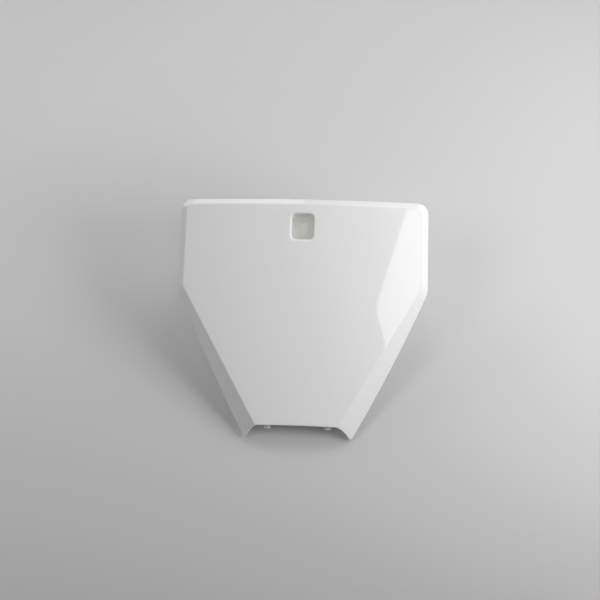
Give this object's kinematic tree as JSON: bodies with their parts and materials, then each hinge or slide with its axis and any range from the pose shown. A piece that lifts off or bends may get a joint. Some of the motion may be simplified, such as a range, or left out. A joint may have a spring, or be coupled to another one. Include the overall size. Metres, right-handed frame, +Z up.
{
  "type": "motocross front number plate",
  "caption": "One-piece moulded front number plate: crowned face, bevelled rim widening to pointed feet, deep screw pocket with a slot, and lower pins for the bracket.",
  "frame": {"origin": "middle of the screw slot, on the flat seat at the back of the pocket", "axes": "+X to the viewer's right, +Y to the back of the plate along the screw, +Z up in the plate's fitted attitude"},
  "size_m": [0.253, 0.0165, 0.2385],
  "materials": {
    "plate_plastic": "white moulded polypropylene, glossy on the front and satin on the back"
  },
  "bodies": {
    "root": {"number_plate": "plate_plastic"}
  },
  "joints": []
}
